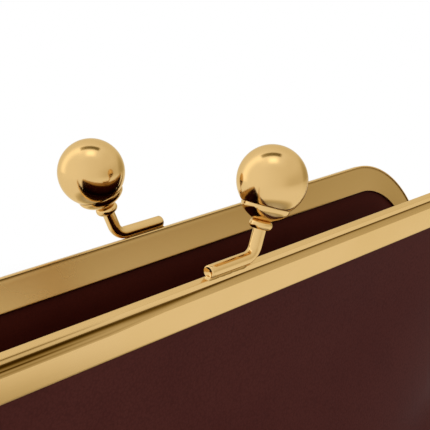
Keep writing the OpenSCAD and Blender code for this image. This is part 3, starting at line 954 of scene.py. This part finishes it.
seam_steps = np.concatenate([[0, 0.002, 0.006, 0.012], np.linspace(0.02, 0.98, 97), [0.988, 0.994, 0.998, 1]])
body_cut = cut(lambda z: seam_column(z) * (2 * seam_steps - 1))
from_seam = np.minimum(seam_steps, 1 - seam_steps) * 200.0
body_cut = pushed(body_cut, -SEAM_TURN * swell(from_seam, 0.9) * share(body_cut[:, :, 2], *SEAM_FADE))
bodies = {side: add_sheet(f"{side}_body_leather", body_cut, LEATHER_T, CALF, side) for side in SIDES}
print("body leather faces:", len(bodies["front"].data.polygons))

# %% [markdown]
# ## Gussets
#
# A gusset closes the bag at each end and folds inward as the purse shuts. Each half of it runs from its
# seam to the pleat in the middle, and is drawn in there more and more towards the hinge.

# %% Gussets
PLEAT_IN = 3.5
PLEAT_RISE = (8.0, 48.0)
GUSSET_TOP = 63.0


def row_at(grid, z):
    """The first row of a grid that lies at this height or above."""
    return int(np.searchsorted(grid[:, :, 2].mean(axis=1), z))


def add_gusset(side, end):
    """The half of a gusset that belongs to one side, from its seam to the pleat in the middle."""
    toward = ENDS[end]
    steps = np.concatenate([[0, 0.03, 0.07], np.linspace(0.12, 1, 12)])[::toward]
    rows = row_at(bag_skin, GUSSET_TOP)
    part = cut(lambda z: toward * (seam_column(z) + (1 - seam_column(z)) * steps), rows)
    part = pushed(part, -SEAM_TURN * swell(steps, 0.06))
    part[:, :, 0] -= toward * PLEAT_IN * share(part[:, :, 2], *PLEAT_RISE) * steps ** 2
    return add_sheet(f"{side}_{end}_gusset", part, LEATHER_T, CALF, side)


gussets = {(side, end): add_gusset(side, end) for side in SIDES for end in ENDS}
print("gusset rows:", row_at(bag_skin, GUSSET_TOP))

# %% [markdown]
# ## Linings
#
# The lining hangs behind the leather from the floor of the bag up into the channel. It is looser than the
# leather, so it wanders more, and just inside the channel it rolls away where it is glued down. Inside the
# pleat it follows the gusset. It is one sheet for each half, from end to end.

# %% Linings
LINING_T = 0.4
LINING_LOW = 2.6
LINING_SAG = 0.25
LINING_ROLL = 0.6


def add_lining(side):
    """The lining of one half, behind its leather, from the floor of the bag into the channel."""
    part = bag_grid[row_at(bag_grid, LINING_LOW):].copy()
    part = pushed(part, -LINING_SAG * wander(part, 16.0, 8.3) * share(part[:, :, 2], 110.0, 80.0))
    # How far inside the frame's outer edge each point lies, round the corners too.
    x, z = np.abs(part[:, :, 0]), part[:, :, 2]
    past = np.stack([x - FRAME_HALF, z - HINGE_Z - FRAME_RISE], axis=2) + CORNER_R
    inside = CORNER_R - np.linalg.norm(np.maximum(past, 0), axis=2) - np.minimum(past.max(axis=2), 0)
    part = pushed(part, -LINING_ROLL * swell(inside - 13.0, 4.0))
    pleated = share(part[:, :, 2], *PLEAT_RISE) * share(part[:, :, 2], *SEAM_FADE)
    pleated = pleated * share(np.abs(bag_columns), 0.8, 1.0) ** 2
    part[:, :, 0] -= np.sign(part[:, :, 0]) * (PLEAT_IN + 0.1) * pleated
    return add_sheet(f"{side}_lining_skin", part, LINING_T, LINING, side, gap=LEATHER_T + 0.05)


linings = {side: add_lining(side) for side in SIDES}
print("lining faces:", len(linings["front"].data.polygons))

# %% [markdown]
# ## The base
#
# The purse stands on a flat piece of the same leather. A board lies on it, which comes from the CAD model
# as it is, and the floor of the lining covers that. Both skins are plates in the outline of the bag's
# lowest row.

# %% Base leather and floor lining
def add_plate(name, z_low, z_high, inset, material, soft=0.25):
    """A flat piece in the outline of the base, with its edge a little rounded."""
    half = np.sin(pi / 2 * np.linspace(-1, 1, 49))[:-1]
    points = []
    for z, more in ((z_low, soft), (z_low + soft, 0), (z_high - soft, 0), (z_high, soft)):
        front = bag_ring(half, 0.0, BASE_EDGE_R + inset + more)
        front[:, 2] = z
        points += [*front, *(front * (-1, -1, 1))]
    return add_piece(name, points, tube_faces(4, len(points) // 4), material)


FLOOR_Z = 2.42
base_leather = add_plate("base_leather_panel", 0.02, LEATHER_T, 0.1, CALF)
floor_lining = add_plate("floor_lining_skin", FLOOR_Z, FLOOR_Z + LINING_T, 0.2, LINING, soft=0.1)
print("base pieces:", base_leather.name, floor_lining.name)

# %% [markdown]
# ## Stitches
#
# A saddle stitch is a short length of thread that dips into the leather at both ends. At 3 mm apart they
# are small, but they are what tells the eye how big a bag is. Each one is a little bent capsule laid along
# the seam, and all the stitches of a side are one mesh.

# %% Stitches
STITCH_PITCH = 3.0
STITCH_LENGTH = 2.3
THREAD_R = 0.24
SEAM_MARGIN = 1.7


def along_path(at, run, path):
    """The point at a distance along a path."""
    return np.array([np.interp(at, run, axis) for axis in path.T])


def capsule(start, end, out, around=8):
    """One stitch from start to end, proud of the leather in the middle and sunk at its ends."""
    along = end - start
    side = np.cross(along / np.linalg.norm(along), out)
    points = []
    stops = (0.0, 0.12, 0.35, 0.65, 0.88, 1.0)
    for t in stops:
        proud = sin(pi * (0.12 + 0.76 * t))
        middle = start + along * t + out * (THREAD_R * (1.5 * proud - 0.9))
        points += [middle + THREAD_R * (0.55 + 0.45 * proud) * (out * cos(a) + side * sin(a))
                   for a in ring_angles(around)]
    return points, tube_faces(len(stops), around)


def add_stitches(side):
    """The rows of stitches beside both gusset seams of one side, sewn through the body leather."""
    normals = grid_normals(body_cut)
    points, faces = [], []
    for toward in ENDS.values():
        margin = [SEAM_MARGIN / np.linalg.norm(row[-1] - row[0]) for row in body_cut]
        at = [1 - m if toward > 0 else m for m in margin]
        path, outs = (np.array([along_path(a, seam_steps, row) for a, row in zip(at, grid)])
                      for grid in (body_cut, normals))
        run = np.concatenate([[0], np.cumsum(np.linalg.norm(np.diff(path, axis=0), axis=1))])
        for s in np.arange(4.0, np.interp(GUSSET_TOP, path[:, 2], run), STITCH_PITCH):
            out = along_path(s + STITCH_LENGTH / 2, run, outs)
            more, skin = capsule(along_path(s, run, path), along_path(s + STITCH_LENGTH, run, path),
                                 out / np.linalg.norm(out))
            faces += [tuple(i + len(points) for i in f) for f in skin]
            points += more
    return add_piece(f"{side}_seam_stitches", placed(points, SIDES[side]), faces, THREAD)


stitches = {side: add_stitches(side) for side in SIDES}
print("stitch faces:", len(stitches["front"].data.polygons))

# %% [markdown]
# ## Bindings inside the pleats
#
# Inside each gusset pleat a strip of leather binds the two halves. Only its edge shows when the purse
# opens, and without it there would be a gap. It is a narrow grid that follows the pleat's line from the
# base to the hinge.

# %% Bindings
def add_binding(end):
    """The strip that joins the two halves of a gusset, seen at the bottom of its pleat."""
    rows = []
    for z in np.linspace(4.0, 57.0, 30):
        base_round = 0.06 * (BASE_EDGE_R - min(z, BASE_EDGE_R)) ** 2
        x = BAG_HALF - 0.35 - PLEAT_IN * share(z, *PLEAT_RISE) - base_round - LEATHER_T * 0.55
        rows.append([(ENDS[end] * (x - 0.12 * abs(u)), ENDS[end] * u, z) for u in np.linspace(-2.6, 2.6, 9)])
    return add_sheet(f"{end}_gusset_binding", np.array(rows), 0.5, CALF)


bindings = {end: add_binding(end) for end in ENDS}
print("binding faces:", len(bindings["left"].data.polygons))

# %% [markdown]
# ## The cord in each channel
#
# A twisted paper cord wedges leather and lining against the metal, as in every sewn-in frame. It is pressed
# flat to the space that is left. It runs round the same stations as the channel, and a swell that turns
# once in 6 mm shows its twist.

# %% Tuck cords
CORD_T = 0.43
CORD_HALF = 1.45
TWIST_PITCH = 6.0


def add_tuck_cord(side, around=12):
    """The flattened paper cord in a channel, its twist showing as a slanting swell."""
    y_middle = Y_INWARD - SHEET - CORD_T / 2 - 0.01
    stations = frame_stations(LEG_END + 0.1, arc_steps=36, top_steps=180, leg_steps=60)
    points = []
    run = 0.0
    before = stations[0]
    for x, z, dx, dz in stations:
        run += np.hypot(x - before[0], z - before[1])
        before = (x, z)
        for a in ring_angles(around):
            twist = 1 - 0.05 * (1 + sin(a + 2 * pi * run / TWIST_PITCH))
            d = GRIP_H + 1.5 + CORD_HALF * cos(a) * twist
            points.append((x + d * dx, y_middle + CORD_T / 2 * sin(a) * twist, z + d * dz))
    faces = tube_faces(len(stations), around)
    return add_piece(f"{side}_paper_cord", placed(points, PLACE[side]), faces, PAPER)


cords = {side: add_tuck_cord(side) for side in SIDES}
print("tuck cord faces:", len(cords["front"].data.polygons))

# %% [markdown]
# ## What moves with what
#
# The metal of each clasp and channel turns with its frame. The leather is different: its lower part stays
# with the bag, its upper part follows the channel, and it bends in between. Here the leather pieces stay
# where they were built, and the bindings and the base go with the bag. Each piece hides the CAD solids
# that it stands in for.

# %% Ride and replace
for side in SIDES:
    body = f"{side}_frame"
    metal = {"frame": channels[side], "stem": rods[side], "stem_braze": brazes[side], **clasp_tops[side]}
    for part, piece in metal.items():
        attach(piece, body)
        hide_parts(f"{side}_{part}")
    for end in ENDS:
        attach(eyes[side, end], body)
    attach(cords[side], body)
    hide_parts(f"{side}_tuck_cord")

    leather = [bodies[side], stitches[side], gussets[side, "left"], gussets[side, "right"]]
    for piece in leather + [linings[side]]:
        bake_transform(piece)
    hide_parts(f"{side}_panel", f"{side}_wall", f"{side}_fold")
    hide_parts(f"{side}_lining")

for end in ENDS:
    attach(rivets[end], "rear_frame")
    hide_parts(f"{end}_rivet")
    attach(bindings[end], "pouch")
    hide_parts(f"{end}_gusset")
floors = [(base_leather, "base_leather", "outer_leather"), (floor_lining, "pouch_lining", "lining_leather")]
for piece, node, slot in floors:
    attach(piece, "pouch")
    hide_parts(node)
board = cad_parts["base_board"]
board.data.materials.clear()
board.data.materials.append(BOARD)

# %% [markdown]
# ## What the metal mirrors
#
# Polished gold has hardly a look of its own: it shows the room. The photograph was taken in a white tent,
# so the world holds a tent too, for mirrored rays alone. It is a shade that changes slowly with direction,
# and a few soft-edged panels that are brighter or darker. The floor uses the same shade, so that the two
# meet unseen.

# %% The tent's shade
# Directions in the studio: to the photographer's right, up the picture, and back to the lens.
STUDIO_RIGHT = Vector((0.675, -0.737, 0.0))
STUDIO_UP = Vector((0.184, 0.169, 0.968))
STUDIO_LENS = Vector((-0.714, -0.654, 0.25))
FRONT_RIGHT = Vector((0.70, -0.71, 0.0))
STRAIGHT_UP = Vector((0.0, 0.0, 1.0))
# Where the tent is darker it is warmer too, as its cloth glows with light that the gold has thrown back.
WARM_SHADE = [(0.0, srgb("#FFE57C")), (1.0, grey(1))]


def studio(right, up, lens):
    """A direction from its parts to the right, up and back to the lens."""
    return (STUDIO_RIGHT * right + STUDIO_UP * up + STUDIO_LENS * lens).normalized()


# Each shade: an axis, how far along it the shade starts and is full, its strength at both, and its edge.
TENT_SHADES = {
    "across": (STUDIO_RIGHT, -0.8, 0.8, 1.05, 0.88, "LINEAR"),
    "behind": (-STUDIO_LENS, 0.2, 0.95, 1.0, 0.9, "LINEAR"),
    "door": (studio(0.7, 0.0, -0.7), 0.86, 0.99, 1.0, 0.7, "SMOOTHSTEP"),
    "aside": (FRONT_RIGHT, 0.3, 1.0, 0.0, 1.0, "SMOOTHSTEP"),
    "low": (STRAIGHT_UP, -0.02, 0.5, 0.16, 0.0, "SMOOTHSTEP"),
}


def tent_shade(tree, direction):
    """The tent's shade: brighter at the left, darker behind, at the door and low at the front right."""
    shades = {}
    for name, (axis, start, full, at_start, at_full, edge) in TENT_SHADES.items():
        along = add_node(tree, "VectorMath", {0: direction, 1: axis}, operation="DOT_PRODUCT")
        shades[name] = add_node(tree, "MapRange", {
            "Value": along, "From Min": start, "From Max": full, "To Min": at_start, "To Max": at_full},
            interpolation_type=edge)
    dip = add_node(tree, "Math", {0: shades["aside"], 1: shades["low"]}, operation="MULTIPLY")
    beside = add_node(tree, "Math", {0: 1.0, 1: dip}, operation="SUBTRACT")
    shade = shades["across"]
    for factor in (shades["behind"], beside, shades["door"]):
        shade = add_node(tree, "Math", {0: shade, 1: factor}, operation="MULTIPLY")
    return shade


print("shades of the tent:", list(TENT_SHADES))

# %% The tent's panels
# Each panel: its middle, the axis of its width, half its width and height, its soft edge, and what it adds.
PANELS = {
    "lamp": (studio(0.06, 0.9, 0.42), STUDIO_RIGHT, 0.2, 0.17, 0.14, 0.7),
    "strip": (studio(-0.79, 0.594, -0.129), studio(-0.398, -0.085, 0.913), 0.2, 0.62, 0.19, 0.4),
    "boom": (studio(0.0, 1.0, 0.02), STUDIO_RIGHT, 0.38, 0.125, 0.05, -0.85),
    "roof": (STRAIGHT_UP, STUDIO_RIGHT, 0.5, 0.4, 0.25, 0.13),
}


def tent_panel(tree, direction, middle, wide, half_wide, half_tall, soft):
    """A soft-edged rectangle on the tent, 1 inside and 0 outside. Wide is the axis along its width."""
    tall = middle.cross(wide).normalized()
    facing = add_node(tree, "VectorMath", {0: direction, 1: middle}, operation="DOT_PRODUCT")
    mask = add_node(tree, "Math", {0: facing, 1: 0.0}, operation="GREATER_THAN")
    for axis, half in ((wide, half_wide), (tall, half_tall)):
        along = add_node(tree, "VectorMath", {0: direction, 1: axis}, operation="DOT_PRODUCT")
        offset = add_node(tree, "Math", {0: along, 1: middle.dot(axis)}, operation="SUBTRACT")
        size = add_node(tree, "Math", {0: offset}, operation="ABSOLUTE")
        inside = add_node(tree, "MapRange", {
            "Value": size, "From Min": half - soft, "From Max": half + soft, "To Min": 1.0, "To Max": 0.0},
            interpolation_type="SMOOTHSTEP")
        mask = add_node(tree, "Math", {0: mask, 1: inside}, operation="MULTIPLY")
    return mask


print("panels of the tent:", list(PANELS))

# %% [markdown]
# ## Floor
#
# The photograph is a studio picture on pure white. The floor is a pale sheet that catches the purse's
# shadow. Away from the purse, the rays from the camera and the rays that metal mirrors see it as plain
# white, so the floor has no edge, and under the purse mirrored rays see it dim. The switch is a Light Path
# node.

# %% The floor's material
# Distances from the purse in metres at which an effect starts and is full, and what it starts from.
FLOOR_FADES = {
    "seen": (0.2, 0.45, 0.0),
    "mirrored": (0.05, 0.11, 0.0),
    "tented": (0.28, 1.0, 0.0),
    # The lit fade is a painted shadow: it dims what mirrored rays see of the floor close to the purse.
    "lit": (0.07, 0.14, 0.2),
}


def studio_floor():
    """A pale floor whose shadow stays near the purse and fades into white further out."""
    material, tree, shader, place = new_finish("studio_floor")
    paper = add_node(tree, "TexNoise", {"Scale": per_metre(4.0), "Detail": 2.0})
    tone = add_node(tree, "ValToRGB", {"Fac": paper}, [(0.3, srgb("#F6F6F5")), (0.7, srgb("#F9F9F8"))])
    wire(tree, shader, {"Base Color": tone, "Roughness": 0.9})
    distance = add_node(tree, "VectorMath", {0: place}, operation="LENGTH")
    outward = add_node(tree, "VectorMath", {0: place}, operation="NORMALIZE")
    fades = {name: add_node(tree, "MapRange", {
        "Value": distance, "From Min": start, "From Max": full, "To Min": least, "To Max": 1.0})
        for name, (start, full, least) in FLOOR_FADES.items()}
    rays = add_node(tree, "LightPath").outputs
    glossy = rays["Is Glossy Ray"]
    seen = add_node(tree, "Math", {
        0: rays["Is Camera Ray"], 1: rays["Is Transmission Ray"]}, operation="MAXIMUM")
    seen = add_node(tree, "Math", {0: seen, 1: fades["seen"]}, operation="MULTIPLY")
    mirrored = add_node(tree, "Math", {0: glossy, 1: fades["mirrored"]}, operation="MULTIPLY")
    whitened = add_node(tree, "Math", {0: seen, 1: mirrored}, operation="MAXIMUM")
    # Mirrored rays see the tent's shade far out and plain white nearer, dimmed close to the purse as a
    # painted shadow; every other ray sees plain white.
    shade = add_node(tree, "Math", {0: tent_shade(tree, outward), 1: 1.0}, operation="SUBTRACT")
    shade = add_node(tree, "Math", {0: shade, 1: fades["tented"]}, operation="MULTIPLY")
    shade = add_node(tree, "Math", {0: shade, 1: glossy, 2: 1.0}, operation="MULTIPLY_ADD")
    shade = add_node(tree, "Math", {0: shade, 1: fades["lit"]}, operation="MULTIPLY")
    warm = add_node(tree, "ValToRGB", {"Fac": shade}, WARM_SHADE)
    white = add_node(tree, "Emission", {"Color": warm, "Strength": shade})
    mixed = add_node(tree, "MixShader", {0: whitened, 1: shader, 2: white})
    wire(tree, tree.nodes["Material Output"], {"Surface": mixed})
    return material


PALE_FLOOR = studio_floor()
print("floor nodes:", len(PALE_FLOOR.node_tree.nodes))

# %% The floor
FLOOR_HALF = 3.0
floor_mesh = bpy.data.meshes.new("studio_floor")
corners = [(x * FLOOR_HALF, y * FLOOR_HALF, 0) for x, y in ((-1, -1), (1, -1), (1, 1), (-1, 1))]
floor_mesh.from_pydata(corners, [], [(0, 1, 2, 3)])
floor_mesh.materials.append(PALE_FLOOR)
floor = bpy.data.objects.new("studio_floor", floor_mesh)
bpy.context.collection.objects.link(floor)
print("floor in metres:", 2 * FLOOR_HALF)

# %% [markdown]
# ## Light
#
# The world lights the object plainly, the camera sees it white, and metal mirrors the tent. Two softboxes
# give the leather its direction of light, so that a colour renders about as it is written. The metal does
# not mirror them, as the tent's panels stand for what it would show.

# %% World
world = bpy.data.worlds.new("white_tent")
bpy.context.scene.world = world
world.use_nodes = True
tent = world.node_tree
shown = tent.nodes["Background"]
wire(tent, shown, {"Color": grey(1), "Strength": 0.72})
rays = add_node(tent, "LightPath").outputs
direction = add_node(tent, "TexCoord").outputs["Generated"]
mirrored = tent_shade(tent, direction)
for *panel, change in PANELS.values():
    mask = tent_panel(tent, direction, *panel)
    mirrored = add_node(tent, "Math", {0: mask, 1: change, 2: mirrored}, operation="MULTIPLY_ADD")
warm = add_node(tent, "ValToRGB", {"Fac": mirrored}, WARM_SHADE)
gloss = add_node(tent, "Background", {"Color": warm, "Strength": mirrored})
backdrop = add_node(tent, "Background", {"Color": grey(1), "Strength": 1.0})
seen = add_node(tent, "Math", {
    0: rays["Is Camera Ray"], 1: rays["Is Transmission Ray"]}, operation="MAXIMUM")
for factor, light in ((rays["Is Glossy Ray"], gloss), (seen, backdrop)):
    shown = add_node(tent, "MixShader", {0: factor, 1: shown, 2: light})
wire(tent, tent.nodes["World Output"], {"Surface": shown})
print("world nodes:", len(tent.nodes))


# %% Softboxes
def add_softbox(name, place, width, height, brightness, target=Vector((0, 0, 0.1))):
    """A softbox that looks at the purse. Its brightness is its own shade, where 1 is white paper."""
    lamp = bpy.data.lights.new(name, "AREA")
    lamp.shape = "RECTANGLE"
    lamp.size, lamp.size_y = width, height
    lamp.energy = brightness * pi * width * height
    box = bpy.data.objects.new(name, lamp)
    box.location = place
    box.rotation_euler = (target - Vector(place)).to_track_quat("-Z", "Y").to_euler()
    box.visible_glossy = False
    bpy.context.collection.objects.link(box)
    return box


softboxes = [
    add_softbox("left_softbox", (-0.95, 0.35, 0.85), 0.5, 0.9, 1.6),
    add_softbox("overhead_softbox", (0.1, -0.1, 1.3), 0.9, 0.9, 1.2),
]
print("softboxes:", [box.name for box in softboxes])

# %% [markdown]
# ## Camera
#
# The camera's place, direction and focal length were fitted to the frame's edges and the balls' outlines in
# the photograph. Blender takes a lens in millimetres for its sensor's width, so a focal length in pixels is
# scaled by the sensor. The camera's axes are built from its angles and written into its matrix.

# %% Camera
CAMERA_PLACE = Vector((-0.1649, -0.1611, 0.1970))
CAMERA_AZIMUTH, CAMERA_ELEVATION, CAMERA_ROLL = 47.51, 14.48, -2.26
FOCAL_PIXELS, IMAGE_PIXELS = 1100.0, 430.0
SENSOR_WIDTH = 36.0
a, e, roll = radians(CAMERA_AZIMUTH), radians(CAMERA_ELEVATION), radians(CAMERA_ROLL)
look = Vector((sin(a) * cos(e), cos(a) * cos(e), -sin(e)))
right = Vector((cos(a), -sin(a), 0.0))
up = right.cross(look)
right, up = right * cos(roll) + up * sin(roll), up * cos(roll) - right * sin(roll)
camera_data = bpy.data.cameras.new("studio_camera")
camera_data.sensor_width = SENSOR_WIDTH
camera_data.lens = FOCAL_PIXELS / IMAGE_PIXELS * SENSOR_WIDTH
camera_data.clip_start = 0.01
camera = bpy.data.objects.new("studio_camera", camera_data)
camera.matrix_world = Matrix((right, up, -look)).transposed().to_4x4()
camera.location = CAMERA_PLACE
bpy.context.collection.objects.link(camera)
bpy.context.scene.camera = camera
bpy.context.scene.view_settings.view_transform = "Standard"
print("lens in mm:", round(camera_data.lens, 1))
